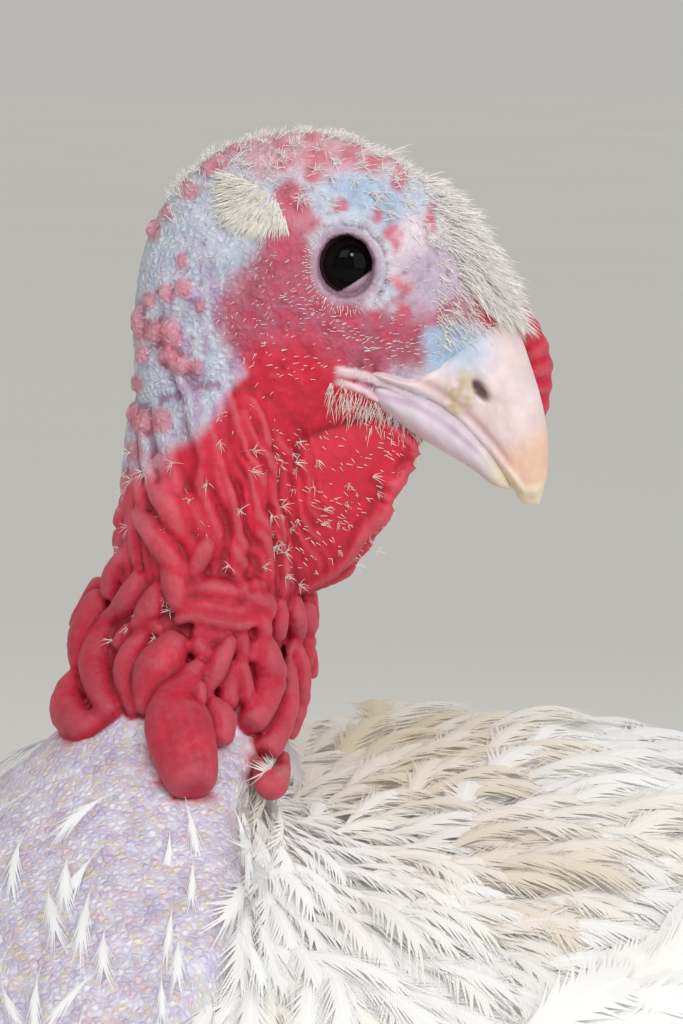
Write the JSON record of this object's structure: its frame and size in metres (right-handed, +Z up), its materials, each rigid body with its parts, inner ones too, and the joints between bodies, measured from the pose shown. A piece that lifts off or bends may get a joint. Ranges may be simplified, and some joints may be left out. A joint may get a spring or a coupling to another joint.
{
  "type": "turkey model",
  "caption": "Still, life-size model of a white domestic tom turkey, standing with its bare red, blue and lilac head turned back over its left side.",
  "frame": {"origin": "on the floor under the middle of the bird's bounding box", "axes": "+Z up, breast towards -Y, tail towards +Y, the bird's left towards +X"},
  "size_m": [0.3832, 0.8934, 0.7236],
  "materials": {
    "plumage": "soft white feathers",
    "red_skin": "soft matte skin",
    "pale_skin": "soft matte skin",
    "head_skin": "soft matte skin",
    "horn": "satin horn",
    "shank_skin": "scaly satin skin",
    "eye": "wet gloss",
    "bristle": "coarse bristle"
  },
  "bodies": {
    "root": {"head": "head_skin", "bill_upper": "horn", "bill_lower": "horn", "snood": "red_skin", "eye_left": "eye", "eye_right": "eye", "dewlap": "red_skin", "neck_upper": "red_skin", "neck_lower": "pale_skin", "trunk": "plumage", "caruncles": "red_skin", "wing_left": "plumage", "wing_right": "plumage", "tail": "plumage", "beard": "bristle", "thigh_left": "plumage", "shank_left": "shank_skin", "foot_left": "shank_skin", "claw_left_inner": "horn", "claw_left_middle": "horn", "claw_left_outer": "horn", "claw_left_hind": "horn", "spur_left": "horn", "thigh_right": "plumage", "shank_right": "shank_skin", "foot_right": "shank_skin", "claw_right_inner": "horn", "claw_right_middle": "horn", "claw_right_outer": "horn", "claw_right_hind": "horn", "spur_right": "horn"}
  },
  "joints": []
}
